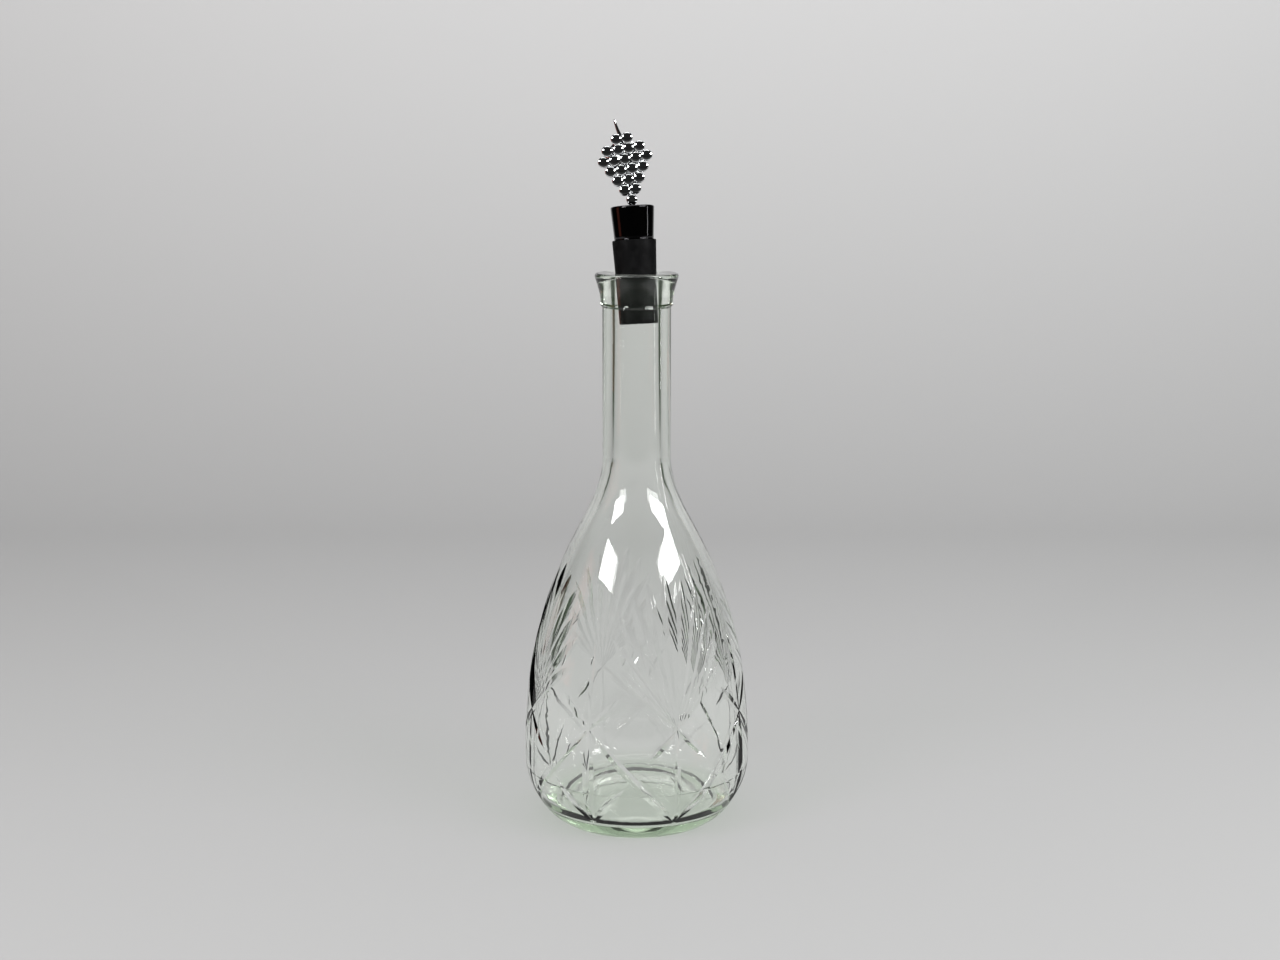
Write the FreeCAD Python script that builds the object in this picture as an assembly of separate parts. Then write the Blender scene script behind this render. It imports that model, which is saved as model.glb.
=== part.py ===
"""Pressed-glass decanter with a loose stopper that leans in its mouth.

Four pieces: the hollow glass, a tapered rubber plug, a metal cap and a cast
bunch of grapes. Millimetres, +Z up. The origin is the centre of the ring that
the glass stands on, and -Y is the side that the bunch of grapes faces.
"""
import FreeCAD, Part
import math
import os

from FreeCAD import Placement, Rotation, Vector

# Overall form of the glass
GLASS_HEIGHT = 275.0
BELLY_RADIUS = 57.2
BELLY_HEIGHT = 30.0
NECK_RADIUS = 16.9
SHOULDER_TOP_HEIGHT = 169.4
SHOULDER_POWER = 2.25
NECK_BLEND = 10.5

# Heel, foot band and base
HEEL_HEIGHT = 10.5
HEEL_INSET = 5.7
HEEL_POWER = 2.0
BAND_INSET = 9.0
BAND_BULGE = 1.0
BEARING_WIDTH = 5.5
PUNT_DEPTH = 9.0
BASE_THICKNESS = 8.0
FLOOR_RISE = 9.0
FLOOR_CORNER = 12.0

# Collar round the mouth
COLLAR_FOOT_DROP = 15.5
COLLAR_FOOT_STEP = 0.85
COLLAR_LIP_HEIGHT = 1.2
COLLAR_UNDERCUT = 1.0
COLLAR_FLARE = 0.25
COLLAR_TOP_STEP = 3.7
COLLAR_EDGE_RADIUS = 1.4

# Hollow inside
MOUTH_RADIUS = 10.85
MOUTH_EDGE_RADIUS = 0.8
NECK_BORE_RADIUS = 11.7
MOUTH_LAND_DEPTH = 34.0
BODY_WALL = 4.0
WALL_BLEND_POWER = 3.0

# Pressed pattern: fan stars and plain stars take turns round the belly
STAR_PAIRS = 4
FAN_STAR_AZIMUTH = 20.5
STAR_HEIGHT = 59.5
CUT_HALF_ANGLE = 70.0
CUT_CLEARANCE = 0.6
CUT_END_DEPTH = 0.1
CUT_STATION_SPACING = 8.0

# Fan: blades side by side, the middle one first; each is widest at this share of its length
FAN_STEP = 8.9
FAN_LENGTHS = (76.0, 73.0, 69.0, 64.0, 56.0, 40.0)
FAN_WIDEST = 0.68
FAN_OVERLAP = 1.04

# Short leaves round both stars
LEAF_ANGLE = 44.0
LEAF_LENGTH = 23.0
LEAF_DEPTH = 0.65
LEAF_WIDEST = 0.55

# Cuts down to the heel, the faint upright over the plain star, leaves up from the heel
HEEL_CUT_DEPTH = 0.4
LONG_CUT_DEPTH = 0.85
LONG_CUT_WIDEST = 0.5
PLAIN_UPRIGHT_DEPTH = 1.2
FAN_UPRIGHT_DEPTH = 0.55
PLAIN_RISE_TOP = 103.0
PLAIN_RISE_DEPTH = 0.45
HEEL_LEAF_REACH = 0.9
HEEL_LEAF_DEPTH = 0.75
HEEL_LEAF_WIDEST = 0.4

# Stopper
PLUG_TOP_RADIUS = 10.75
PLUG_BOTTOM_RADIUS = 8.9
PLUG_LENGTH = 40.5
PLUG_DEPTH_IN_GLASS = 24.5
PLUG_EDGE_RADIUS = 0.5
PLUG_NICKS = 16
PLUG_NICK_RADIUS = 1.5
PLUG_NICK_DEPTH = 0.35
STOPPER_CLEARANCE = 0.03
LEAN_AZIMUTH = -151.0
CAP_FOOT_RADIUS = 9.65
CAP_TOP_RADIUS = 10.75
CAP_HEIGHT = 16.4
CAP_EDGE_RADIUS = 0.9

# Bunch of grapes: flattened grapes, domed on both faces
GRAPE_RADIUS = 2.75
GRAPE_DOME = 1.4
GRAPE_BAND = 1.0
GRAPE_PITCH = 5.3
GRAPE_ROW_PITCH = 4.95
GRAPE_ROWS = (1, 2, 3, 4, 5, 4, 2)
WEB_THICKNESS = 1.4
BUNCH_TILT = 6.5
FOOT_RADIUS = 1.6
FOOT_GAP = 0.3
STALK_LENGTH = 9.2
STALK_FOOT_RADIUS = 1.15
STALK_TIP_RADIUS = 0.55
STALK_KNOB_RADIUS = 0.8
STALK_TILT = 12.0

# How finely the drawn curves are sampled
SHOULDER_SAMPLES = 26
HEEL_SAMPLES = 8
SLOPE_STEP = 0.05
CUT_LEAST_STEPS = 3
LEAN_HALVINGS = 40
LEAN_LIMIT = 30.0


def outer_radius(height):
    """Radius of the smooth outside between the heel and the neck."""
    if height <= BELLY_HEIGHT:
        drop = (BELLY_HEIGHT - height) / (BELLY_HEIGHT - HEEL_HEIGHT)
        return BELLY_RADIUS - HEEL_INSET * drop ** HEEL_POWER
    rise = (height - BELLY_HEIGHT) / (SHOULDER_TOP_HEIGHT - BELLY_HEIGHT)
    beyond_neck = (BELLY_RADIUS - NECK_RADIUS) * (1.0 - rise ** SHOULDER_POWER)
    blend = max(NECK_BLEND - abs(beyond_neck), 0.0) ** 2 / (4.0 * NECK_BLEND)
    return NECK_RADIUS + max(beyond_neck, 0.0) + blend


def neck_foot():
    """Height where the blend from the shoulder has run out into the neck."""
    share = 1.0 + NECK_BLEND / (BELLY_RADIUS - NECK_RADIUS)
    rise = share ** (1.0 / SHOULDER_POWER)
    return BELLY_HEIGHT + (SHOULDER_TOP_HEIGHT - BELLY_HEIGHT) * rise


def outer_slope(height):
    """Change of the outside radius for each millimetre of height."""
    above = outer_radius(height + SLOPE_STEP)
    below = outer_radius(height - SLOPE_STEP)
    return (above - below) / (2.0 * SLOPE_STEP)


def profile_point(radius, height):
    """Point of a half section in the XZ plane."""
    return Vector(radius, 0.0, height)


def curve_through(points, first_tangent, last_tangent):
    """Smooth edge through the points with set directions at its ends."""
    curve = Part.BSplineCurve()
    curve.interpolate(Points=points, InitialTangent=first_tangent, FinalTangent=last_tangent)
    return curve.toShape()


def line(start, end):
    """Straight edge."""
    return Part.makeLine(start, end)


def revolved(edges):
    """Solid turned from a closed half section."""
    face = Part.Face(Part.Wire(edges))
    return face.revolve(Vector(0, 0, 0), Vector(0, 0, 1), 360.0)


def heights_between(low, high, count):
    """Evenly spaced heights with both ends."""
    return [low + (high - low) * i / count for i in range(count + 1)]


def arc_through(start, middle, end):
    """Arc edge through three points."""
    return Part.Arc(start, middle, end).toShape()


def dome_arc(radius, rise, edge_height):
    """Arc from the top of a shallow dome on the axis down to its edge."""
    dome_radius = (radius ** 2 + rise ** 2) / (2.0 * rise)
    half = math.asin(radius / dome_radius) / 2.0
    middle_drop = dome_radius * (1.0 - math.cos(half))
    return arc_through(profile_point(0.0, edge_height + rise),
                       profile_point(dome_radius * math.sin(half), edge_height + rise - middle_drop),
                       profile_point(radius, edge_height))


def rounded_rim_middle(radius, edge, outward):
    """Middle of a quarter round between a rim's side and its top."""
    inset = edge * (1.0 - math.sqrt(0.5))
    return profile_point(radius - outward * inset, GLASS_HEIGHT - inset)


def glass_outside():
    """Solid body of the glass with no hollow and no pattern."""
    up = Vector(0, 0, 1)
    collar_foot = GLASS_HEIGHT - COLLAR_FOOT_DROP
    lip_radius = NECK_RADIUS + COLLAR_FOOT_STEP
    rim_radius = NECK_RADIUS + COLLAR_TOP_STEP
    axis_foot = profile_point(0.0, 0.0)
    axis_top = profile_point(0.0, GLASS_HEIGHT)
    heel = profile_point(BELLY_RADIUS - HEEL_INSET, HEEL_HEIGHT)
    bearing = profile_point(heel.x - BAND_INSET, 0.0)
    band = heel - bearing
    bulge = Vector(band.z, 0, -band.x).normalize() * BAND_BULGE
    belly = [profile_point(outer_radius(h), h)
             for h in heights_between(HEEL_HEIGHT, BELLY_HEIGHT, HEEL_SAMPLES)]
    shoulder = [profile_point(outer_radius(h), h)
                for h in heights_between(BELLY_HEIGHT, neck_foot(), SHOULDER_SAMPLES)]
    neck_top = profile_point(NECK_RADIUS, collar_foot - COLLAR_UNDERCUT)
    lip_foot = profile_point(lip_radius, collar_foot)
    lip_top = profile_point(lip_radius, collar_foot + COLLAR_LIP_HEIGHT)
    rim_side = profile_point(rim_radius, GLASS_HEIGHT - COLLAR_EDGE_RADIUS)
    rim_top = profile_point(rim_radius - COLLAR_EDGE_RADIUS, GLASS_HEIGHT)
    rim_middle = rounded_rim_middle(rim_radius, COLLAR_EDGE_RADIUS, 1)
    return revolved([
        line(axis_foot, bearing),
        arc_through(bearing, (bearing + heel) * 0.5 + bulge, heel),
        curve_through(belly, Vector(outer_slope(HEEL_HEIGHT), 0, 1), up),
        curve_through(shoulder, up, up),
        line(shoulder[-1], neck_top),
        line(neck_top, lip_foot),
        line(lip_foot, lip_top),
        curve_through([lip_top, rim_side], up, Vector(COLLAR_FLARE, 0, 1)),
        arc_through(rim_side, rim_middle, rim_top),
        line(rim_top, axis_top),
        line(axis_top, axis_foot),
    ])


def inner_radius(height):
    """Radius of the hollow from the belly to the foot of the neck."""
    rise = (height - BELLY_HEIGHT) / (neck_foot() - BELLY_HEIGHT)
    neck_wall = NECK_RADIUS - NECK_BORE_RADIUS
    wall = BODY_WALL + (neck_wall - BODY_WALL) * rise ** WALL_BLEND_POWER
    return outer_radius(height) - wall


def floor_corner():
    """Quarter ellipse from the edge of the inside floor up to the belly."""
    wall_radius = inner_radius(BELLY_HEIGHT)
    points = []
    for i in range(HEEL_SAMPLES + 1):
        turn = math.pi / 2.0 * i / HEEL_SAMPLES
        points.append(profile_point(
            wall_radius - FLOOR_CORNER * (1.0 - math.sin(turn)),
            BASE_THICKNESS + (BELLY_HEIGHT - BASE_THICKNESS) * (1.0 - math.cos(turn))))
    return points


def glass_hollow():
    """Solid that fills the inside of the glass and stands out of the mouth."""
    up = Vector(0, 0, 1)
    corner = floor_corner()
    floor_edge = corner[0]
    above = GLASS_HEIGHT + MOUTH_EDGE_RADIUS
    shoulder = [profile_point(inner_radius(h), h)
                for h in heights_between(BELLY_HEIGHT, neck_foot(), SHOULDER_SAMPLES)]
    land = profile_point(MOUTH_RADIUS, GLASS_HEIGHT - MOUTH_LAND_DEPTH)
    mouth_side = profile_point(MOUTH_RADIUS, GLASS_HEIGHT - MOUTH_EDGE_RADIUS)
    mouth_top = profile_point(MOUTH_RADIUS + MOUTH_EDGE_RADIUS, GLASS_HEIGHT)
    mouth_above = profile_point(MOUTH_RADIUS + MOUTH_EDGE_RADIUS, above)
    axis_above = profile_point(0.0, above)
    return revolved([
        dome_arc(floor_edge.x, FLOOR_RISE, BASE_THICKNESS),
        curve_through(corner, Vector(1, 0, 0), up),
        curve_through(shoulder, up, up),
        line(shoulder[-1], land),
        line(land, mouth_side),
        arc_through(mouth_side, rounded_rim_middle(MOUTH_RADIUS, MOUTH_EDGE_RADIUS, -1), mouth_top),
        line(mouth_top, mouth_above),
        line(mouth_above, axis_above),
        line(axis_above, profile_point(0.0, BASE_THICKNESS + FLOOR_RISE)),
    ])


def punt():
    """Shallow dome pressed up into the underside."""
    radius = BELLY_RADIUS - HEEL_INSET - BAND_INSET - BEARING_WIDTH
    dome_radius = (radius ** 2 + PUNT_DEPTH ** 2) / (2.0 * PUNT_DEPTH)
    return Part.makeSphere(dome_radius, Vector(0, 0, PUNT_DEPTH - dome_radius))


def surface_frame(azimuth, height):
    """Point on the outside with its outward normal."""
    angle = math.radians(azimuth)
    radial = Vector(math.sin(angle), -math.cos(angle), 0.0)
    slope = outer_slope(height)
    point = radial * outer_radius(height) + Vector(0, 0, height)
    normal = (radial - Vector(0, 0, slope)).normalize()
    return point, normal


def cut_tool(path, depths):
    """V-shaped tool whose root follows the path at the given depths.

    Args:
        path: (azimuth, height) stations on the outside.
        depths: depth of the root under the outside at each station.
    """
    stations = [surface_frame(azimuth, height) for azimuth, height in path]
    slant = math.tan(math.radians(CUT_HALF_ANGLE))
    last = len(stations) - 1
    sections = []
    for i, (point, normal) in enumerate(stations):
        along = stations[min(i + 1, last)][0] - stations[max(i - 1, 0)][0]
        side = normal.cross(along).normalize() * (depths[i] + CUT_CLEARANCE) * slant
        root = point - normal * depths[i]
        top = point + normal * CUT_CLEARANCE
        sections.append(Part.makePolygon([root, top + side, top - side, root]))
    return Part.makeLoft(sections, True, False)


def steps_for(length):
    """Number of loft steps for a cut of this length."""
    return max(CUT_LEAST_STEPS, math.ceil(length / CUT_STATION_SPACING))


def path_from_star(azimuth, angle, length):
    """Stations of a straight cut that leaves a star.

    Args:
        azimuth: where the star is.
        angle: direction from straight up, in degrees towards rising azimuth.
        length: length along the glass.
    """
    steps = steps_for(length)
    step = length / steps
    height = STAR_HEIGHT
    path = [(azimuth, height)]
    for _ in range(steps):
        slope = outer_slope(height)
        azimuth += math.degrees(step * math.sin(math.radians(angle)) / outer_radius(height))
        height += step * math.cos(math.radians(angle)) / math.sqrt(1.0 + slope ** 2)
        path.append((azimuth, height))
    return path


def path_between(start, end):
    """Stations of a cut between two (azimuth, height) ends."""
    turn = math.radians(end[0] - start[0]) * outer_radius((start[1] + end[1]) / 2.0)
    steps = steps_for(math.hypot(turn, end[1] - start[1]))
    return [(start[0] + (end[0] - start[0]) * i / steps,
             start[1] + (end[1] - start[1]) * i / steps)
            for i in range(steps + 1)]


def blade(path, widest_at, end_depths, full_depth, swell):
    """Cut tool along a path, widest and deepest at a chosen share of its length.

    Args:
        path: (azimuth, height) stations on the outside.
        widest_at: share of the length at which the cut is full.
        end_depths: depths at the first and the last station.
        full_depth: depth where the cut is full.
        swell: 1 widens evenly from the start, 2 bulges like a leaf.
    """
    steps = len(path) - 1
    depths = []
    for i in range(steps + 1):
        share = i / steps
        if share < widest_at:
            fall = ((widest_at - share) / widest_at) ** swell
            depths.append(full_depth + (end_depths[0] - full_depth) * fall)
        else:
            fall = ((share - widest_at) / (1.0 - widest_at)) ** 2
            depths.append(full_depth + (end_depths[1] - full_depth) * fall)
    return cut_tool(path, depths)


def pointed_leaf(path, full_depth):
    """Leaf that is thin at its start and runs out to a point at its end."""
    return blade(path, LEAF_WIDEST, (CUT_END_DEPTH, -CUT_END_DEPTH), full_depth, 2)


def heel_cut(path, full_depth):
    """Cut from a star that runs on down to the heel."""
    return blade(path, LONG_CUT_WIDEST, (CUT_END_DEPTH, HEEL_CUT_DEPTH), full_depth, 2)


def fan_blade(azimuth, place, length):
    """Fan blade just wide enough to meet the blades on both sides of it."""
    half_width = FAN_WIDEST * length * math.tan(math.radians(FAN_STEP / 2.0)) * FAN_OVERLAP
    depth = half_width / math.tan(math.radians(CUT_HALF_ANGLE))
    path = path_from_star(azimuth, place * FAN_STEP, length)
    return blade(path, FAN_WIDEST, (CUT_END_DEPTH, -CUT_END_DEPTH), depth, 1)


def fan_star_cuts(azimuth):
    """Fan above, two short leaves and one upright cut below."""
    cuts = [fan_blade(azimuth, 0, FAN_LENGTHS[0])]
    for side in (-1, 1):
        for place, length in enumerate(FAN_LENGTHS[1:], 1):
            cuts.append(fan_blade(azimuth, side * place, length))
        leaf = path_from_star(azimuth, side * (180.0 - LEAF_ANGLE), LEAF_LENGTH)
        cuts.append(pointed_leaf(leaf, LEAF_DEPTH))
    upright = path_between((azimuth, STAR_HEIGHT), (azimuth, HEEL_HEIGHT))
    cuts.append(heel_cut(upright, FAN_UPRIGHT_DEPTH))
    return cuts


def plain_star_cuts(azimuth):
    """Short leaves and a thin upright above, long crossing cuts below."""
    star = (azimuth, STAR_HEIGHT)
    heel = (azimuth, HEEL_HEIGHT)
    spacing = 180.0 / STAR_PAIRS
    half_drop = (STAR_HEIGHT - HEEL_HEIGHT) / 2.0
    cuts = [heel_cut(path_between(star, heel), PLAIN_UPRIGHT_DEPTH),
            pointed_leaf(path_between(star, (azimuth, PLAIN_RISE_TOP)), PLAIN_RISE_DEPTH)]
    for side in (-1, 1):
        leaf = path_from_star(azimuth, side * LEAF_ANGLE, LEAF_LENGTH)
        cuts.append(pointed_leaf(leaf, LEAF_DEPTH))
        long_cut = path_between(star, (azimuth + side * spacing, HEEL_HEIGHT))
        cuts.append(heel_cut(long_cut, LONG_CUT_DEPTH))
        crossing = (azimuth + side * spacing / 2.0 * HEEL_LEAF_REACH,
                    HEEL_HEIGHT + half_drop * HEEL_LEAF_REACH)
        cuts.append(blade(path_between(heel, crossing), HEEL_LEAF_WIDEST,
                          (HEEL_CUT_DEPTH, -CUT_END_DEPTH), HEEL_LEAF_DEPTH, 2))
    return cuts


def decanter_glass():
    """Hollow glass with the pattern pressed into its outside."""
    pitch = 360.0 / STAR_PAIRS
    glass = glass_outside()
    fans = [fan_star_cuts(FAN_STAR_AZIMUTH + i * pitch) for i in range(STAR_PAIRS)]
    plains = [plain_star_cuts(FAN_STAR_AZIMUTH + (i + 0.5) * pitch) for i in range(STAR_PAIRS)]
    for alike in list(zip(*fans)) + list(zip(*plains)):
        glass = glass.cut(list(alike))
    return glass.cut([glass_hollow(), punt()]).Solids[0]


def sink_depth():
    """How far the plug goes below the rim: as named, or until it jams."""
    jam = (MOUTH_RADIUS - STOPPER_CLEARANCE - PLUG_BOTTOM_RADIUS) / math.tan(plug_taper())
    return min(PLUG_DEPTH_IN_GLASS, jam)


def plug_taper():
    """Half angle of the plug's taper, in radians."""
    return math.atan((PLUG_TOP_RADIUS - PLUG_BOTTOM_RADIUS) / PLUG_LENGTH)


def foot_offset(lean):
    """Sideways place of the plug's foot when its lower edge meets the bore."""
    taper = plug_taper()
    inset = PLUG_BOTTOM_RADIUS + PLUG_EDGE_RADIUS * (math.sin(taper) - 1.0) / math.cos(taper)
    return (inset * math.cos(lean) - PLUG_EDGE_RADIUS * math.sin(lean)
            + PLUG_EDGE_RADIUS - MOUTH_RADIUS + STOPPER_CLEARANCE)


def rim_gap(lean):
    """Gap between the leaning plug and the rounded edge of the mouth."""
    tilt = lean + plug_taper()
    foot_x = foot_offset(lean) + PLUG_BOTTOM_RADIUS * math.cos(lean)
    foot_z = GLASS_HEIGHT - sink_depth() - PLUG_BOTTOM_RADIUS * math.sin(lean)
    across = MOUTH_RADIUS + MOUTH_EDGE_RADIUS - foot_x
    above = GLASS_HEIGHT - MOUTH_EDGE_RADIUS - foot_z
    return (across * math.cos(tilt) - above * math.sin(tilt)
            - MOUTH_EDGE_RADIUS - STOPPER_CLEARANCE)


def stopper_lean():
    """Lean at which the plug touches the bore low down and the rim opposite."""
    low = 0.0
    high = math.radians(LEAN_LIMIT)
    for _ in range(LEAN_HALVINGS):
        middle = (low + high) / 2.0
        if rim_gap(middle) > 0.0:
            low = middle
        else:
            high = middle
    return low


def stopper_placement():
    """Place of the stopper: its own +Z is its axis, from the plug's foot."""
    lean = stopper_lean()
    azimuth = math.radians(LEAN_AZIMUTH)
    towards = Vector(math.sin(azimuth), -math.cos(azimuth), 0.0)
    foot = towards * foot_offset(lean) + Vector(0, 0, GLASS_HEIGHT - sink_depth())
    return Placement(foot, Rotation(Vector(0, 0, 1).cross(towards), math.degrees(lean)))


def stopper_plug():
    """Tapered rubber plug with small nicks round its lower edge."""
    plug = Part.makeCone(PLUG_BOTTOM_RADIUS, PLUG_TOP_RADIUS, PLUG_LENGTH)
    rims = [edge for edge in plug.Edges if edge.Closed and len(edge.Vertexes) == 1]
    plug = plug.makeFillet(PLUG_EDGE_RADIUS, rims)
    nicks = []
    for i in range(PLUG_NICKS):
        turn = 2.0 * math.pi * i / PLUG_NICKS
        outward = Vector(math.cos(turn), math.sin(turn), 0.0)
        start = outward * (PLUG_BOTTOM_RADIUS / 2.0)
        start.z = PLUG_NICK_DEPTH - PLUG_NICK_RADIUS
        nicks.append(Part.makeCylinder(PLUG_NICK_RADIUS, PLUG_BOTTOM_RADIUS, start, outward))
    return plug.cut(nicks)


def stopper_cap():
    """Metal cap that widens slightly upwards, seated on the plug."""
    cap = Part.makeCone(CAP_FOOT_RADIUS, CAP_TOP_RADIUS, CAP_HEIGHT)
    top = [edge for edge in cap.Edges
           if edge.Closed and edge.BoundBox.ZMin > CAP_HEIGHT / 2.0]
    cap = cap.makeFillet(CAP_EDGE_RADIUS, top)
    cap.translate(Vector(0, 0, PLUG_LENGTH))
    return cap


def grape_places():
    """Centres of the grapes in the bunch's own XZ plane, bottom row first."""
    places = []
    for row, count in enumerate(GRAPE_ROWS):
        for i in range(count):
            across = (i - (count - 1) / 2.0) * GRAPE_PITCH
            places.append(Vector(across, 0.0, row * GRAPE_ROW_PITCH))
    return places


def grape(place):
    """Flattened grape: a dome on each face and a narrow band between them."""
    thickness = GRAPE_BAND + 2.0 * GRAPE_DOME
    dome_radius = (GRAPE_RADIUS ** 2 + GRAPE_DOME ** 2) / (2.0 * GRAPE_DOME)
    solid = Part.makeCylinder(GRAPE_RADIUS, thickness,
                              Vector(0, -thickness / 2.0, 0), Vector(0, 1, 0))
    for side in (-1, 1):
        dome_centre = Vector(0, side * (dome_radius - thickness / 2.0), 0)
        solid = solid.common(Part.makeSphere(dome_radius, dome_centre))
    solid.translate(place)
    return solid


def bunch_web():
    """Thin web between the grapes, out to the centres of the outer ones."""
    widest = max(GRAPE_ROWS)
    left = []
    right = []
    for row, count in enumerate(GRAPE_ROWS):
        half = (count - 1) / 2.0 * GRAPE_PITCH
        if row == 0 or count == widest or row > GRAPE_ROWS.index(widest):
            right.append(Vector(half, -WEB_THICKNESS / 2.0, row * GRAPE_ROW_PITCH))
            left.append(Vector(-half, -WEB_THICKNESS / 2.0, row * GRAPE_ROW_PITCH))
    outline = left[1:] + right[:0:-1] + [right[0], left[1]]
    return Part.Face(Part.makePolygon(outline)).extrude(Vector(0, WEB_THICKNESS, 0))


def stalk():
    """Tapered stalk with a small knob, from the top row of grapes."""
    top = Vector(0, 0, (len(GRAPE_ROWS) - 1) * GRAPE_ROW_PITCH)
    tilt = math.radians(STALK_TILT)
    along = Vector(-math.sin(tilt), 0.0, math.cos(tilt))
    stem = Part.makeCone(STALK_FOOT_RADIUS, STALK_TIP_RADIUS, STALK_LENGTH, top, along)
    knob = Part.makeSphere(STALK_KNOB_RADIUS, top + along * STALK_LENGTH)
    return stem.fuse(knob)


def grape_cluster():
    """Cast bunch of grapes on a short foot, seated on the cap."""
    grapes = [grape(place) for place in grape_places()]
    bunch = bunch_web().fuse(grapes + [stalk()])
    lowest = Vector(0, 0, PLUG_LENGTH + CAP_HEIGHT + FOOT_GAP + GRAPE_RADIUS)
    bunch.Placement = Placement(lowest, Rotation(Vector(0, 1, 0), -BUNCH_TILT))
    foot = Part.makeCylinder(FOOT_RADIUS, FOOT_GAP + GRAPE_RADIUS,
                             Vector(0, 0, PLUG_LENGTH + CAP_HEIGHT))
    return bunch.fuse(foot).removeSplitter().Solids[0]


def main():
    """Write each piece in its place."""
    os.makedirs("parts", exist_ok=True)
    decanter_glass().exportStep("parts/decanter_glass.step")
    place = stopper_placement()
    for name, make in (("stopper_plug", stopper_plug),
                       ("stopper_cap", stopper_cap),
                       ("grape_cluster", grape_cluster)):
        piece = make()
        piece.Placement = place.multiply(piece.Placement)
        piece.exportStep("parts/" + name + ".step")


main()
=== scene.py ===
"""Looks of a pressed-glass decanter whose loose stopper leans in its mouth.

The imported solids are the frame: the stopper's axis and sizes are worked out
from them. Lengths are metres, +Z is up, and the camera stands on the -Y side.
Angles are degrees until they are used.
"""

import logging
import math
from dataclasses import dataclass
from enum import Enum

import bmesh
import bpy
from mathutils import Matrix, Vector

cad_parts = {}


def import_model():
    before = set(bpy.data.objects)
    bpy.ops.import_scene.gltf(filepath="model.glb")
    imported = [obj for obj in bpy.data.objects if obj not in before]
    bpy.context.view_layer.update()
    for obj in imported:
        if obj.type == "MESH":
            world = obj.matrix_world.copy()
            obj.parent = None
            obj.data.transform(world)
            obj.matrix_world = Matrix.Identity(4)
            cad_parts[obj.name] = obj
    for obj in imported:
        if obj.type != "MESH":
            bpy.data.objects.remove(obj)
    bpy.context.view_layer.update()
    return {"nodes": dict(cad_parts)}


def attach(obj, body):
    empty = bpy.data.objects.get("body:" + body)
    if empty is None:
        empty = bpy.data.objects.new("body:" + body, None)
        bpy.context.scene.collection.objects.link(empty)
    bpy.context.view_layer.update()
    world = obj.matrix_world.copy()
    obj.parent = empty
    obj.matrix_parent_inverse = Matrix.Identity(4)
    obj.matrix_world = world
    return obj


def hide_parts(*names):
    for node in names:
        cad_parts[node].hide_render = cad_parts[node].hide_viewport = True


LOG = logging.getLogger("decanter")
BODY = "root"
MM = 0.001

# Places of a Mix node's colour sockets and of a Random Value node's float sockets
MIX_FIRST, MIX_SECOND, MIX_RESULT = 6, 7, 2
RANDOM_LEAST, RANDOM_MOST, RANDOM_RESULT = 2, 3, 1

Colour = tuple[float, float, float]
Point = tuple[float, float]
Profile = list[Point]


class Slot(Enum):
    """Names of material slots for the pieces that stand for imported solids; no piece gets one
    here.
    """

    RUBBER = "rubber"
    DARK_CHROME = "dark_chrome"
    BRIGHT_CHROME = "bright_chrome"


# ---------------------------------------------------------------- node helpers


def set_sockets(node: bpy.types.Node, values: dict[str, object]) -> None:
    """Set the constants of a node's inputs.

    Args:
        node: shader or geometry node.
        values: socket name to value.
    """
    for name, value in values.items():
        node.inputs[name].default_value = value


class Graph:
    """Node tree under construction."""

    def __init__(self, tree: bpy.types.NodeTree) -> None:
        """Keep the tree that the nodes go into."""
        self.tree = tree

    def node(self, kind: str, values: dict[str, object] | None = None,
             **settings: object) -> bpy.types.Node:
        """Add a node.

        Args:
            kind: Blender's type name of the node.
            values: constants for its inputs, by socket name.
            **settings: properties of the node itself.

        Returns:
            The new node.
        """
        made = self.tree.nodes.new(kind)
        for name, value in settings.items():
            setattr(made, name, value)
        set_sockets(made, values or {})
        return made

    def link(self, source: bpy.types.NodeSocket, target: bpy.types.NodeSocket) -> None:
        """Join two sockets."""
        self.tree.links.new(source, target)

    def maths(self, operation: str, *values: object) -> bpy.types.NodeSocket:
        """Add a calculation with sockets and numbers.

        Args:
            operation: Blender's name of the operation.
            *values: its values in order, each a socket or a number.

        Returns:
            The socket with the result.
        """
        made = self.node("ShaderNodeMath", operation=operation)
        for place, value in enumerate(values):
            if isinstance(value, bpy.types.NodeSocket):
                self.link(value, made.inputs[place])
            else:
                made.inputs[place].default_value = value
        return made.outputs["Value"]

    def mix(self, factor: bpy.types.NodeSocket, first: object,
            second: object) -> bpy.types.NodeSocket:
        """Add a mix of two colours, each a socket or a colour.

        Args:
            factor: 0 for the first, 1 for the second.
            first: first colour.
            second: second colour.

        Returns:
            The socket with the result.
        """
        made = self.node("ShaderNodeMix", data_type="RGBA")
        self.link(factor, made.inputs["Factor"])
        for place, value in ((MIX_FIRST, first), (MIX_SECOND, second)):
            if isinstance(value, bpy.types.NodeSocket):
                self.link(value, made.inputs[place])
            else:
                made.inputs[place].default_value = (*value, 1.0)
        return made.outputs[MIX_RESULT]

    def separate(self, vector: bpy.types.NodeSocket) -> bpy.types.NodeOutputs:
        """Split a vector into outputs named X, Y and Z.

        Args:
            vector: socket with the vector.

        Returns:
            The three outputs.
        """
        made = self.node("ShaderNodeSeparateXYZ")
        self.link(vector, made.inputs["Vector"])
        return made.outputs


@dataclass(frozen=True)
class Patches:
    """Noise that a finish reads between two of its values.

    scale is in lumps for each metre, and detail in octaves.
    """

    scale: float
    detail: float
    low: float
    high: float


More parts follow.
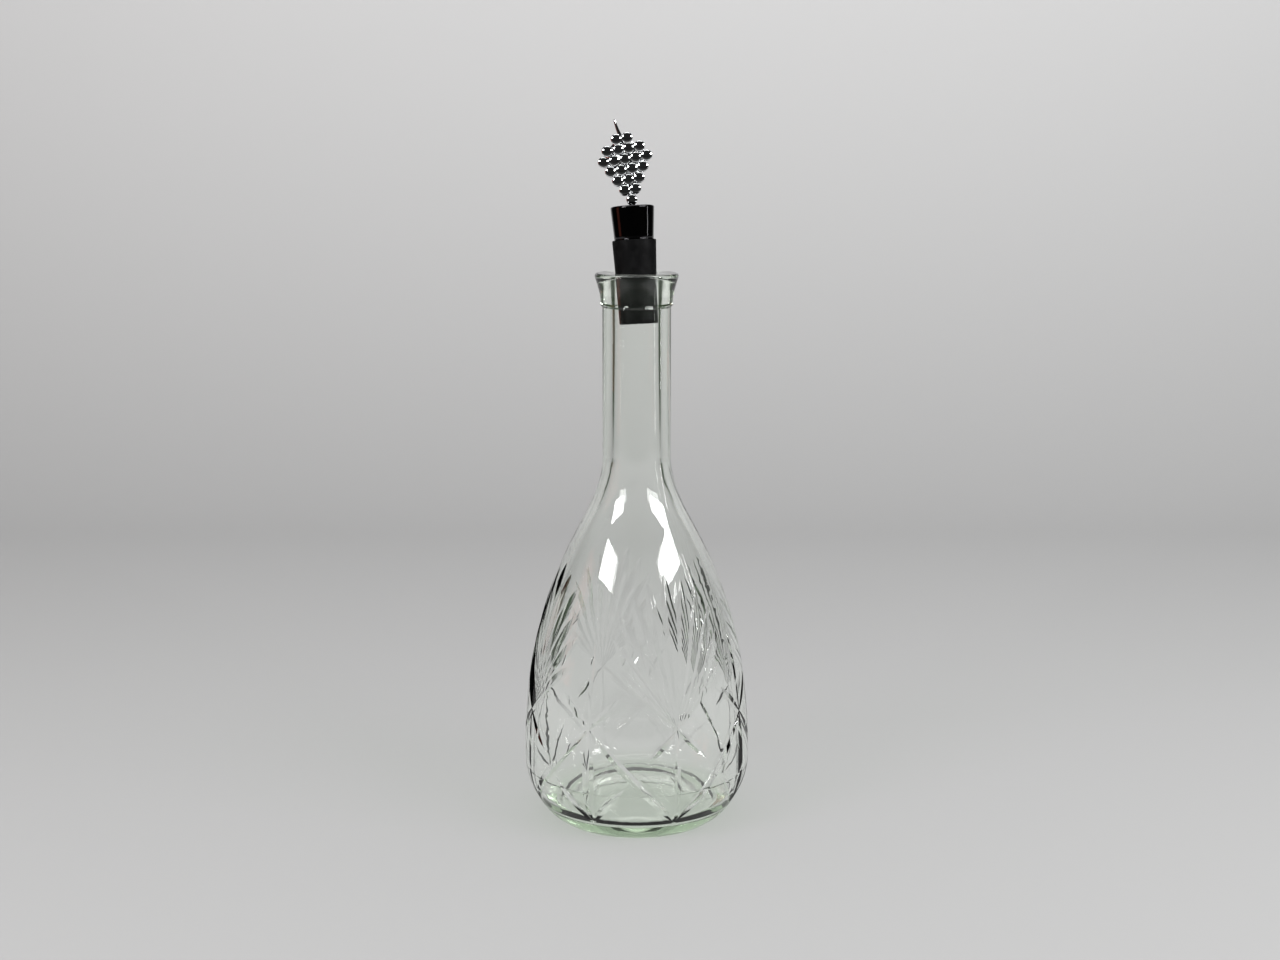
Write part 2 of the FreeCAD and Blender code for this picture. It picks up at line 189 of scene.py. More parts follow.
class MaterialGraph(Graph):
    """Nodes of a new material round a Principled surface."""

    def __init__(self, name: str, values: dict[str, object]) -> None:
        """Make the material.

        Args:
            name: name of the material.
            values: constants of the Principled surface.
        """
        self.material = bpy.data.materials.new(name)
        self.material.use_nodes = True
        super().__init__(self.material.node_tree)
        self.surface = self.tree.nodes["Principled BSDF"]
        self.output = self.tree.nodes["Material Output"]
        self.coordinates = self.node("ShaderNodeTexCoord")
        set_sockets(self.surface, values)

    def stretched(self, scale: Colour) -> bpy.types.NodeSocket:
        """Add Object coordinates scaled along each axis.

        Args:
            scale: factor along X, Y and Z.

        Returns:
            The socket with the coordinates.
        """
        mapping = self.node("ShaderNodeMapping", {"Scale": scale})
        self.link(self.coordinates.outputs["Object"], mapping.inputs["Vector"])
        return mapping.outputs["Vector"]

    def noise(self, scale: float, detail: float = 2.0,
              stretch: Colour = (1.0, 1.0, 1.0)) -> bpy.types.NodeSocket:
        """Add noise with values between 0 and 1.

        Args:
            scale: lumps for each metre.
            detail: octaves.
            stretch: scaling of the coordinates along each axis.

        Returns:
            The socket with the value.
        """
        made = self.node("ShaderNodeTexNoise", {"Scale": scale, "Detail": detail})
        self.link(self.stretched(stretch), made.inputs["Vector"])
        return made.outputs["Fac"]

    def remap(self, value: bpy.types.NodeSocket, low: float, high: float,
              to_low: float, to_high: float) -> bpy.types.NodeSocket:
        """Add a move from one range to another, held inside the new one.

        Args:
            value: socket with the value.
            low: start of its range.
            high: end of its range.
            to_low: result at the start.
            to_high: result at the end.

        Returns:
            The socket with the result.
        """
        made = self.node("ShaderNodeMapRange", {"From Min": low, "From Max": high,
                                                "To Min": to_low, "To Max": to_high})
        self.link(value, made.inputs["Value"])
        return made.outputs["Result"]

    def ramp(self, value: bpy.types.NodeSocket, start: float,
             width: float) -> bpy.types.NodeSocket:
        """Go from 0 at a start to 1 a width later."""
        return self.remap(value, start, start + width, 0.0, 1.0)

    def patches(self, given: Patches, to_low: float = 0.0,
                to_high: float = 1.0) -> bpy.types.NodeSocket:
        """Add noise in patches, moved to a range and held inside it.

        Args:
            given: size and limits of the noise.
            to_low: result at its lower limit.
            to_high: result at its upper limit.

        Returns:
            The socket with the value.
        """
        value = self.noise(given.scale, given.detail)
        return self.remap(value, given.low, given.high, to_low, to_high)

    def colour(self, value: bpy.types.NodeSocket) -> None:
        """Let a socket give the surface its colour."""
        self.link(value, self.surface.inputs["Base Color"])

    def roughness(self, value: bpy.types.NodeSocket) -> None:
        """Let a socket give the surface its roughness."""
        self.link(value, self.surface.inputs["Roughness"])

    def bump(self, height: bpy.types.NodeSocket, depth: float) -> None:
        """Let a height raise the surface.

        Args:
            height: socket with a value of 0 to 1.
            depth: metres that the surface is raised by where it is 1.
        """
        made = self.node("ShaderNodeBump", {"Strength": 1.0, "Distance": depth})
        self.link(height, made.inputs["Height"])
        self.link(made.outputs["Normal"], self.surface.inputs["Normal"])


# -------------------------------------------------------------------- finishes


@dataclass(frozen=True)
class PressedGlass:
    """Soda-lime glass: clear, a little wavy, green where it is thick.

    absorbed is the absorption for each metre, and density only has to be above
    it. Light between lamps and matt surfaces passes straight through each face
    and takes lamp_tint there, so the glass casts a pale shadow.
    """

    ior: float = 1.5
    absorbed: Colour = (4.0, 1.4, 4.9)
    density: float = 20.0
    lamp_tint: Colour = (0.955, 0.96, 0.955)
    wave_scale: float = 55.0
    wave_stretch: Colour = (1.0, 1.0, 0.45)
    wave_depth: float = 0.05 * MM

    def build(self) -> bpy.types.Material:
        """Make the material.

        Returns:
            Glass with absorption inside and faint waves on its faces.
        """
        graph = MaterialGraph("pressed_glass", {
            "Base Color": (1.0, 1.0, 1.0, 1.0), "Roughness": 0.0,
            "IOR": self.ior, "Transmission Weight": 1.0})
        waves = graph.noise(self.wave_scale, detail=1.0, stretch=self.wave_stretch)
        graph.bump(waves, self.wave_depth)
        tint = [1.0 - share / self.density for share in self.absorbed]
        volume = graph.node("ShaderNodeVolumeAbsorption",
                            {"Color": (*tint, 1.0), "Density": self.density})
        graph.link(volume.outputs["Volume"], graph.output.inputs["Volume"])
        clear = graph.node("ShaderNodeBsdfTransparent", {"Color": (*self.lamp_tint, 1.0)})
        path = graph.node("ShaderNodeLightPath").outputs
        straight = graph.maths("MAXIMUM", path["Is Shadow Ray"], path["Is Diffuse Ray"])
        passed = graph.node("ShaderNodeMixShader")
        choices = (straight, graph.surface.outputs["BSDF"], clear.outputs["BSDF"])
        for choice, target in zip(choices, passed.inputs):
            graph.link(choice, target)
        graph.link(passed.outputs["Shader"], graph.output.inputs["Surface"])
        return graph.material


@dataclass(frozen=True)
class MattRubber:
    """Black moulded rubber with faint dust and a fine grain."""

    black: Colour = (0.0016, 0.0016, 0.0019)
    dust: Colour = (0.006, 0.006, 0.0064)
    dust_patches: Patches = Patches(scale=260.0, detail=4.0, low=0.45, high=0.8)
    shine: float = 0.1
    smoothest: float = 0.5
    roughest: float = 0.68
    rough_patches: Patches = Patches(scale=500.0, detail=2.0, low=0.3, high=0.7)
    grain_scale: float = 2600.0
    grain_depth: float = 0.02 * MM

    def build(self) -> bpy.types.Material:
        """Make the material.

        Returns:
            The node material.
        """
        graph = MaterialGraph("matt_rubber", {"Specular IOR Level": self.shine})
        graph.colour(graph.mix(graph.patches(self.dust_patches), self.black, self.dust))
        graph.roughness(graph.patches(self.rough_patches, self.smoothest, self.roughest))
        graph.bump(graph.noise(self.grain_scale), self.grain_depth)
        return graph.material


@dataclass(frozen=True)
class Chrome:
    """Plated metal with faint handling marks and an uneven polish.

    The dullest marks are dullness times as rough as the polish.
    """

    name: str
    colour: Colour
    shade: Colour
    roughness: float
    ripple_scale: float
    ripple_stretch: Colour
    ripple_depth: float
    shade_patches: Patches = Patches(scale=220.0, detail=3.0, low=0.35, high=0.7)
    mark_patches: Patches = Patches(scale=420.0, detail=5.0, low=0.3, high=0.75)
    dullness: float = 2.0

    def build(self) -> bpy.types.Material:
        """Make the material.

        Returns:
            The node material.
        """
        graph = MaterialGraph(self.name, {"Metallic": 1.0})
        graph.colour(graph.mix(graph.patches(self.shade_patches), self.colour, self.shade))
        graph.roughness(graph.patches(self.mark_patches, self.roughness,
                                      self.roughness * self.dullness))
        ripples = graph.noise(self.ripple_scale, detail=1.0, stretch=self.ripple_stretch)
        graph.bump(ripples, self.ripple_depth)
        return graph.material


BLACK_CHROME = Chrome(
    name="black_chrome", colour=(0.035, 0.035, 0.038), shade=(0.05, 0.048, 0.048),
    roughness=0.05, ripple_scale=300.0, ripple_stretch=(1.0, 1.0, 0.02),
    ripple_depth=0.006 * MM)
BRIGHT_CHROME = Chrome(
    name="bright_chrome", colour=(0.78, 0.79, 0.8), shade=(0.7, 0.71, 0.72),
    roughness=0.03, ripple_scale=500.0, ripple_stretch=(1.0, 1.0, 1.0),
    ripple_depth=0.004 * MM)


# ---------------------------------------------------------------- mesh helpers


def solid_centre(node: bpy.types.Object) -> Vector:
    """Find the centre of mass of a closed solid.

    Args:
        node: object whose mesh is closed.

    Returns:
        The centre in world coordinates.
    """
    mesh = node.data
    mesh.calc_loop_triangles()
    total = 0.0
    centre = Vector()
    for triangle in mesh.loop_triangles:
        a, b, c = (mesh.vertices[i].co for i in triangle.vertices)
        volume = a.dot(b.cross(c)) / 6.0
        total += volume
        centre += (a + b + c) * (volume / 4.0)
    return node.matrix_world @ (centre / total)


def rounded(centre: Point, radius: float, start: float, end: float,
            parts: int = 8) -> Profile:
    """Draw an arc of a profile from one direction to another.

    Args:
        centre: (radius, height) of the arc's centre.
        radius: radius of the arc.
        start: first direction, 0 outwards and 90 up.
        end: last direction.
        parts: parts of the arc.

    Returns:
        The points of the arc.
    """
    turns = [math.radians(start + (end - start) * i / parts) for i in range(parts + 1)]
    return [(centre[0] + radius * math.cos(turn), centre[1] + radius * math.sin(turn))
            for turn in turns]


def between(start: Point, end: Point, parts: int) -> Profile:
    """Divide a straight line of a profile, without its ends.

    Args:
        start: first end.
        end: last end.
        parts: parts of the line.

    Returns:
        The points between the parts.
    """
    return [(start[0] + (end[0] - start[0]) * i / parts,
             start[1] + (end[1] - start[1]) * i / parts) for i in range(1, parts)]


def join_rings(mesh: bmesh.types.BMesh, rings: list[list[bmesh.types.BMVert]],
               segments: int) -> None:
    """Add the faces between neighbouring rings; a ring may be a single point.

    Args:
        mesh: mesh that gets the faces.
        rings: vertices of each ring in order.
        segments: faces round a ring.
    """
    for lower, upper in zip(rings, rings[1:]):
        for i in range(segments):
            j = (i + 1) % segments
            corners = [lower[i % len(lower)], lower[j % len(lower)],
                       upper[j % len(upper)], upper[i % len(upper)]]
            mesh.faces.new(list(dict.fromkeys(corners)))


def lathe(mesh: bmesh.types.BMesh, profile: Profile, segments: int) -> list[bmesh.types.BMVert]:
    """Turn a (radius, height) profile about +Z; ends on the axis close it.

    Args:
        mesh: mesh that gets the faces.
        profile: points with one on the axis at each end.
        segments: faces round the axis.

    Returns:
        The new vertices.
    """
    turns = [2.0 * math.pi * i / segments for i in range(segments)]
    rings = []
    for radius, height in profile:
        round_axis = [0.0] if radius == 0.0 else turns
        rings.append([mesh.verts.new((radius * math.cos(a), radius * math.sin(a), height))
                      for a in round_axis])
    join_rings(mesh, rings, segments)
    return [vertex for ring in rings for vertex in ring]


def tube(mesh: bmesh.types.BMesh, centres: list[Vector], radii: list[float],
         segments: int = 20) -> None:
    """Add a closed round bar along a path in the XZ plane.

    Args:
        mesh: mesh that gets the faces.
        centres: points of the path.
        radii: radius at each point.
        segments: faces round the bar.
    """
    turns = [2.0 * math.pi * i / segments for i in range(segments)]
    side = Vector((0.0, 1.0, 0.0))
    last = len(centres) - 1
    rings = []
    for i, (centre, radius) in enumerate(zip(centres, radii)):
        along = (centres[min(i + 1, last)] - centres[max(i - 1, 0)]).normalized()
        across = along.cross(side)
        rings.append([mesh.verts.new(centre + (across * math.cos(a) + side * math.sin(a)) * radius)
                      for a in turns])
    join_rings(mesh, rings, segments)
    mesh.faces.new(rings[0][::-1])
    mesh.faces.new(rings[-1])


def linked_object(name: str, data: bpy.types.ID) -> bpy.types.Object:
    """Put an object into the scene.

    Args:
        name: its name.
        data: its mesh, lamp or camera.

    Returns:
        The new object at the origin.
    """
    made = bpy.data.objects.new(name, data)
    bpy.context.scene.collection.objects.link(made)
    return made


def finished_object(name: str, mesh: bmesh.types.BMesh, place: Matrix,
                    material: bpy.types.Material) -> bpy.types.Object:
    """Turn a built mesh into an object at the origin with its place in the mesh.

    Args:
        name: name of the piece.
        mesh: built mesh, freed here.
        place: matrix from the piece's own frame to the world.
        material: its finish.

    Returns:
        The linked object.
    """
    mesh.transform(place)
    bmesh.ops.recalc_face_normals(mesh, faces=mesh.faces)
    data = bpy.data.meshes.new(name)
    mesh.to_mesh(data)
    mesh.free()
    data.shade_smooth()
    data.materials.append(material)
    return linked_object(name, data)


# -------------------------------------------------------------- sub-assemblies


@dataclass(frozen=True)
class GlassVessel:
    """The glass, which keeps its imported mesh."""

    node: bpy.types.Object

    def dress(self, material: bpy.types.Material) -> None:
        """Set the finish and report the piece.

        Args:
            material: glass.
        """
        self.node.data.materials.clear()
        self.node.data.materials.append(material)
        LOG.info("%s dressed: %d faces", self.node.name, len(self.node.data.polygons))


@dataclass(frozen=True)
class StopperFrame:
    """The stopper's own frame: +Z is its axis, from the plug's foot.

    end_share is the part of a piece's half length that counts as its end.
    """

    place: Matrix
    end_share: float = 0.25

    @classmethod
    def from_nodes(cls, plug: bpy.types.Object, cap: bpy.types.Object) -> "StopperFrame":
        """Find the axis through the middles of the plug and the cap.

        Args:
            plug: packed plug.
            cap: packed cap.

        Returns:
            The frame with its origin at the plug's foot.
        """
        middle = solid_centre(plug)
        axis = (solid_centre(cap) - middle).normalized()
        low = min((plug.matrix_world @ v.co - middle).dot(axis) for v in plug.data.vertices)
        turn = Vector((0.0, 0.0, 1.0)).rotation_difference(axis).to_matrix().to_4x4()
        return cls(Matrix.Translation(middle + axis * low) @ turn)

    def ends(self, node: bpy.types.Object) -> tuple[Point, Point]:
        """Measure the widest radius near both ends of a turned piece.

        Args:
            node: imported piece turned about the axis.

        Returns:
            (radius, height) at the foot and at the top.
        """
        to_own = self.place.inverted() @ node.matrix_world
        points = [to_own @ v.co for v in node.data.vertices]
        low = min(p.z for p in points)
        high = max(p.z for p in points)
        near = self.end_share * (high - low) / 2.0
        foot = max(math.hypot(p.x, p.y) for p in points if p.z < low + near)
        top = max(math.hypot(p.x, p.y) for p in points if p.z > high - near)
        return (foot, low), (top, high)


@dataclass
class StopperPlug:
    """Tapered rubber plug: rounded rims, a nicked and hollowed foot and a moulding pip.

    recess_roof is a share of the recess's radius, recess_wall of its depth,
    nick_width of the way from nick to nick, and pip_share of the plug's length.
    """

    frame: StopperFrame
    node: bpy.types.Object
    edge: float = 0.5 * MM
    wall_parts: int = 12
    nicks: int = 16
    nick_depth: float = 0.35 * MM
    nick_width: float = 0.62
    recess_radius: float = 5.5 * MM
    recess_depth: float = 6.0 * MM
    recess_roof: float = 0.8
    recess_wall: float = 0.85
    pip_radius: float = 0.28 * MM
    pip_flatness: float = 0.45
    pip_turn: float = -97.0
    pip_share: float = 0.85
    segments: int = 192

    def build(self, material: bpy.types.Material) -> bpy.types.Object:
        """Build and dress the plug.

        Args:
            material: rubber.

        Returns:
            The finished object.
        """
        (foot, low), (top, high) = self.frame.ends(self.node)
        inner, edge = self.recess_radius, self.edge
        rim_low, rim_high = low + edge, high - edge
        roof = low + self.recess_depth
        profile = [(0.0, roof), (inner * self.recess_roof, roof),
                   (inner, low + self.recess_depth * self.recess_wall), (inner, rim_low)]
        profile += rounded((inner + edge, rim_low), edge, 180.0, 270.0)[1:]
        profile += rounded((foot - edge, rim_low), edge, -90.0, 0.0)
        profile += between((foot, rim_low), (top, rim_high), self.wall_parts)
        profile += rounded((top - edge, rim_high), edge, 0.0, 90.0)
        profile.append((0.0, high))
        mesh = bmesh.new()
        for vertex in lathe(mesh, profile, self.segments):
            self.nick(vertex, low)
        self.add_pip(mesh)
        return finished_object("plug_rubber", mesh, self.frame.place, material)

    def nick(self, vertex: bmesh.types.BMVert, low: float) -> None:
        """Raise a vertex of the foot's rim where it lies in a nick.

        Args:
            vertex: vertex of the plug.
            low: height of the foot.
        """
        rise = vertex.co.z - low
        outside = math.hypot(vertex.co.x, vertex.co.y) > self.recess_radius + self.edge / 2.0
        if rise > self.edge or not outside:
            return
        turn = math.atan2(vertex.co.y, vertex.co.x) * self.nicks / (2.0 * math.pi)
        away = abs(turn - round(turn)) * 2.0 / self.nick_width
        lift = self.nick_depth * max(0.0, 1.0 - away ** 2)
        vertex.co.z += lift * (1.0 - rise / self.edge)

    def add_pip(self, mesh: bmesh.types.BMesh) -> None:
        """Add the small pip that the mould leaves on the side.

        Args:
            mesh: mesh of the plug.
        """
        (foot, low), (top, high) = self.frame.ends(self.node)
        turn = math.radians(self.pip_turn)
        radius = foot + (top - foot) * self.pip_share
        height = low + (high - low) * self.pip_share
        place = Matrix.Translation((radius * math.cos(turn), radius * math.sin(turn), height))
        flat = Matrix.Rotation(turn, 4, "Z") @ Matrix.Diagonal((self.pip_flatness, 1.0, 1.0, 1.0))
        bmesh.ops.create_uvsphere(mesh, u_segments=16, v_segments=10,
                                  radius=self.pip_radius, matrix=place @ flat)


@dataclass
class StopperCap:
    """Black-chromed cap: a rolled foot, a rounded top edge and a dished top.

    dish_line gives shares of the top's radius and of the dish's depth.
    """

    frame: StopperFrame
    node: bpy.types.Object
    edge: float = 0.9 * MM
    edge_parts: int = 12
    foot_edge: float = 0.25 * MM
    foot_edge_parts: int = 4
    groove_height: float = 0.55 * MM
    groove_depth: float = 0.12 * MM
    wall_parts: int = 10
    dish: float = 0.15 * MM
    dish_line: tuple[Point, ...] = ((0.6, 0.5), (0.3, 0.9), (0.0, 1.0))
    out_of_round: float = 0.012 * MM
    lobes: int = 9
    lobe_offset: float = 0.7
    segments: int = 192

    def build(self, material: bpy.types.Material) -> bpy.types.Object:
        """Build and dress the cap.

        Args:
            material: dark plating.

        Returns:
            The finished object.
        """
        (foot, low), (top, high) = self.frame.ends(self.node)
        foot_edge, deep = self.foot_edge, self.groove_depth
        groove = low + self.groove_height
        wall_top = high - self.edge
        profile = [(0.0, low), (foot - foot_edge, low)]
        profile += rounded((foot - foot_edge, low + foot_edge), foot_edge, -90.0, 0.0,
                           self.foot_edge_parts)[1:]
        profile += [(foot, groove - deep), (foot - deep, groove), (foot, groove + deep)]
        profile += between((foot, groove), (top, wall_top), self.wall_parts)
        profile += rounded((top - self.edge, wall_top), self.edge, 0.0, 90.0, self.edge_parts)
        profile += [(top * out, high - self.dish * down) for out, down in self.dish_line]
        mesh = bmesh.new()
        for vertex in lathe(mesh, profile, self.segments):
            self.unround(vertex)
        return finished_object("cap_plated", mesh, self.frame.place, material)

    def unround(self, vertex: bmesh.types.BMVert) -> None:
        """Press a vertex in where the drawn wall isn't quite round.

        Args:
            vertex: vertex of the cap.
        """
        radius = math.hypot(vertex.co.x, vertex.co.y)
        if radius < self.edge:
            return
        turn = math.atan2(vertex.co.y, vertex.co.x)
        swing = math.sin(self.lobes * turn) * math.cos(2.0 * turn + self.lobe_offset)
        share = 1.0 - self.out_of_round * (0.5 + 0.5 * swing) / radius
        vertex.co.x *= share
        vertex.co.y *= share


@dataclass
class GrapeBunch:
    """Cast bunch: domed grapes by Geometry Nodes, a web, a foot and a stalk.

    foot_wall is a share of the foot's height, foot_roof of its radius, and
    knob_end of the stalk's tip radius.
    """

    frame: StopperFrame
    cap: bpy.types.Object
    rows: tuple[int, ...] = (1, 2, 3, 4, 5, 4, 2)
    grape_radius: float = 2.75 * MM
    grape_dome: float = 1.0 * MM
    grape_band: float = 1.6 * MM
    grape_segments: int = 40
    grape_rings: int = 24
    middle_width: float = 1e-6
    size_spread: float = 0.03
    seed: int = 5
    pitch: float = 5.3 * MM
    row_pitch: float = 4.95 * MM
    web: float = 1.4 * MM
    tilt: float = 6.5
    foot_radius: float = 1.6 * MM
    foot_gap: float = 0.3 * MM
    foot_wall: float = 0.9
    foot_roof: float = 0.8
    foot_segments: int = 32
    stalk_length: float = 9.2 * MM
    stalk_foot: float = 1.15 * MM
    stalk_tip: float = 0.55 * MM
    stalk_taper: float = 0.7
    stalk_tilt: float = 12.0
    stalk_bend: float = 0.25 * MM
    stalk_parts: int = 14
    stalk_knob: float = 0.65 * MM
    knob_parts: int = 4
    knob_end: float = 0.1

    def places(self) -> list[Vector]:
        """Centres of the grapes in the bunch's own XZ plane, bottom row first."""
        return [Vector(((i - (count - 1) / 2.0) * self.pitch, 0.0, row * self.row_pitch))
                for row, count in enumerate(self.rows) for i in range(count)]

    def foot_height(self) -> float:
        """Height from the cap to the middle of the lowest grape."""
        return self.foot_gap + self.grape_radius

    def cap_top(self) -> float:
        """Height of the cap's top in the stopper's frame."""
        return self.frame.ends(self.cap)[1][1]

    def place(self) -> Matrix:
        """Matrix from the bunch's own frame to the world."""
        lowest = Matrix.Translation((0.0, 0.0, self.cap_top() + self.foot_height()))
        return self.frame.place @ lowest @ Matrix.Rotation(math.radians(-self.tilt), 4, "Y")

    def tree_inputs(self) -> dict[str, float | int]:
        """Named inputs of the grapes' node tree."""
        return {"Radius": self.grape_radius, "Dome": self.grape_dome, "Band": self.grape_band,
                "Size Spread": self.size_spread, "Seed": self.seed}

    def domed_grape(self, graph: Graph, given: bpy.types.NodeOutputs) -> bpy.types.NodeSocket:
        """Add a ball flattened to two domes with a band between them.

        Args:
            graph: the grapes' node tree.
            given: outputs of its group input.

        Returns:
            The socket with the grape.
        """
        ball = graph.node("GeometryNodeMeshUVSphere",
                          {"Segments": self.grape_segments, "Rings": self.grape_rings})
        graph.link(given["Radius"], ball.inputs["Radius"])
        upright = graph.node("GeometryNodeTransform", {"Rotation": (math.pi / 2.0, 0.0, 0.0)})
        graph.link(ball.outputs["Mesh"], upright.inputs["Geometry"])
        axes = graph.separate(graph.node("GeometryNodeInputPosition").outputs["Position"])
        flatness = graph.maths("DIVIDE", given["Dome"], given["Radius"])
        dome = graph.maths("MULTIPLY", axes["Y"], flatness)
        in_middle = graph.maths("COMPARE", axes["Y"], 0.0, self.middle_width)
        off_middle = graph.maths("SUBTRACT", 1.0, in_middle)
        half_band = graph.maths("MULTIPLY", given["Band"], 0.5)
        outward = graph.maths("MULTIPLY", graph.maths("SIGN", axes["Y"]), half_band)
        band = graph.maths("MULTIPLY", outward, off_middle)
        flat = graph.node("ShaderNodeCombineXYZ")
        graph.link(axes["X"], flat.inputs["X"])
        graph.link(graph.maths("ADD", dome, band), flat.inputs["Y"])
        graph.link(axes["Z"], flat.inputs["Z"])
        shaped = graph.node("GeometryNodeSetPosition")
        graph.link(upright.outputs["Geometry"], shaped.inputs["Geometry"])
        graph.link(flat.outputs["Vector"], shaped.inputs["Position"])
        return shaped.outputs["Geometry"]

    def grape_tree(self, material: bpy.types.Material) -> tuple[bpy.types.NodeTree, dict[str, str]]:
        """Make the node tree that sets a domed grape on every point.

        Args:
            material: plating, set on the grapes.

        Returns:
            The tree, and the identifier of each named input.
        """
        tree = bpy.data.node_groups.new("grapes_on_points", "GeometryNodeTree")
        graph = Graph(tree)
        face = tree.interface
        face.new_socket(name="Points", in_out="INPUT", socket_type="NodeSocketGeometry")
        identifiers = {}
        for name, value in self.tree_inputs().items():
            kind = "NodeSocketInt" if isinstance(value, int) else "NodeSocketFloat"
            made = face.new_socket(name=name, in_out="INPUT", socket_type=kind)
            identifiers[name] = made.identifier
        face.new_socket(name="Grapes", in_out="OUTPUT", socket_type="NodeSocketGeometry")
        given = graph.node("NodeGroupInput").outputs
        grape = self.domed_grape(graph, given)
        size = graph.node("FunctionNodeRandomValue", data_type="FLOAT")
        least = graph.maths("SUBTRACT", 1.0, given["Size Spread"])
        graph.link(least, size.inputs[RANDOM_LEAST])
        size.inputs[RANDOM_MOST].default_value = 1.0
        graph.link(given["Seed"], size.inputs["Seed"])
        instances = graph.node("GeometryNodeInstanceOnPoints")
        graph.link(given["Points"], instances.inputs["Points"])
        graph.link(grape, instances.inputs["Instance"])
        graph.link(size.outputs[RANDOM_RESULT], instances.inputs["Scale"])
        real = graph.node("GeometryNodeRealizeInstances")
        graph.link(instances.outputs["Instances"], real.inputs["Geometry"])
        dressed = graph.node("GeometryNodeSetMaterial", {"Material": material})
        graph.link(real.outputs["Geometry"], dressed.inputs["Geometry"])
        result = graph.node("NodeGroupOutput")
        graph.link(dressed.outputs["Geometry"], result.inputs["Grapes"])
        return tree, identifiers

    def grapes(self, material: bpy.types.Material) -> bpy.types.Mesh:
        """Run the tree on the places and keep its mesh.

        Args:
            material: plating.

        Returns:
            Plain mesh of all the grapes in the bunch's own frame.
        """
        points = bpy.data.meshes.new("grape_places")
        points.from_pydata(self.places(), [], [])
        holder = linked_object("grape_places", points)
        tree, identifiers = self.grape_tree(material)
        modifier = holder.modifiers.new("grapes", "NODES")
        modifier.node_group = tree
        for name, value in self.tree_inputs().items():
            modifier[identifiers[name]] = value
        evaluated = holder.evaluated_get(bpy.context.evaluated_depsgraph_get())
        made = bpy.data.meshes.new_from_object(evaluated)
        bpy.data.objects.remove(holder)
        return made

    def add_web(self, mesh: bmesh.types.BMesh) -> None:
        """Add the thin web between the grapes.

        Args:
            mesh: mesh of the bunch.
        """
        widest = self.rows.index(max(self.rows))
        right = [Vector(((count - 1) / 2.0 * self.pitch, 0.0, row * self.row_pitch))
                 for row, count in enumerate(self.rows) if row == 0 or row >= widest]
        left = [Vector((-p.x, 0.0, p.z)) for p in reversed(right[1:])]
        half = Vector((0.0, self.web / 2.0, 0.0))
        front = [mesh.verts.new(p - half) for p in right + left]
        back = [mesh.verts.new(p + half) for p in right + left]
        mesh.faces.new(front)
        mesh.faces.new(back[::-1])
        join_rings(mesh, [front, back], len(front))

    def add_stalk(self, mesh: bmesh.types.BMesh) -> None:
        """Add the bent, tapered stalk with a knob at its cut end.

        Args:
            mesh: mesh of the bunch.
        """
        tilt = math.radians(self.stalk_tilt)
        along = Vector((-math.sin(tilt), 0.0, math.cos(tilt)))
        across = Vector((math.cos(tilt), 0.0, math.sin(tilt)))
        start = Vector((0.0, 0.0, (len(self.rows) - 1) * self.row_pitch))
        centres = []
        radii = []
        for i in range(self.stalk_parts + 1):
            share = i / self.stalk_parts
            bend = self.stalk_bend * math.sin(math.pi * share)
            centres.append(start + along * (self.stalk_length * share) - across * bend)
            radii.append(self.stalk_foot
                         + (self.stalk_tip - self.stalk_foot) * share ** self.stalk_taper)
        cut = centres[-1]
        for i in range(1, self.knob_parts + 1):
            turn = math.pi / 2.0 * i / self.knob_parts
            swell = math.sin(math.pi * i / (self.knob_parts + 1))
            centres.append(cut + along * (self.stalk_knob * math.sin(turn)))
            radii.append(self.stalk_tip * max(math.cos(turn), self.knob_end)
                         + swell * (self.stalk_knob - self.stalk_tip))
        tube(mesh, centres, radii)

    def add_foot(self, mesh: bmesh.types.BMesh) -> None:
        """Add the foot that joins the lowest grape to the cap.

        Args:
            mesh: mesh of the bunch.
        """
        radius, height = self.foot_radius, self.foot_height()
        profile = [(0.0, 0.0), (radius, 0.0), (radius, height * self.foot_wall),
                   (radius * self.foot_roof, height), (0.0, height)]
        made = lathe(mesh, profile, self.foot_segments)
        upright = self.place().inverted() @ self.frame.place
        bmesh.ops.transform(mesh, matrix=upright @ Matrix.Translation((0.0, 0.0, self.cap_top())),
                            verts=made)

    def build(self, material: bpy.types.Material) -> bpy.types.Object:
        """Build and dress the bunch.

        Args:
            material: bright plating.

        Returns:
            The finished object.
        """
        mesh = bmesh.new()
        mesh.from_mesh(self.grapes(material))
        self.add_web(mesh)
        self.add_stalk(mesh)
        self.add_foot(mesh)
        return finished_object("bunch_cast", mesh, self.place(), material)


# ----------------------------------------------------------------------- stage


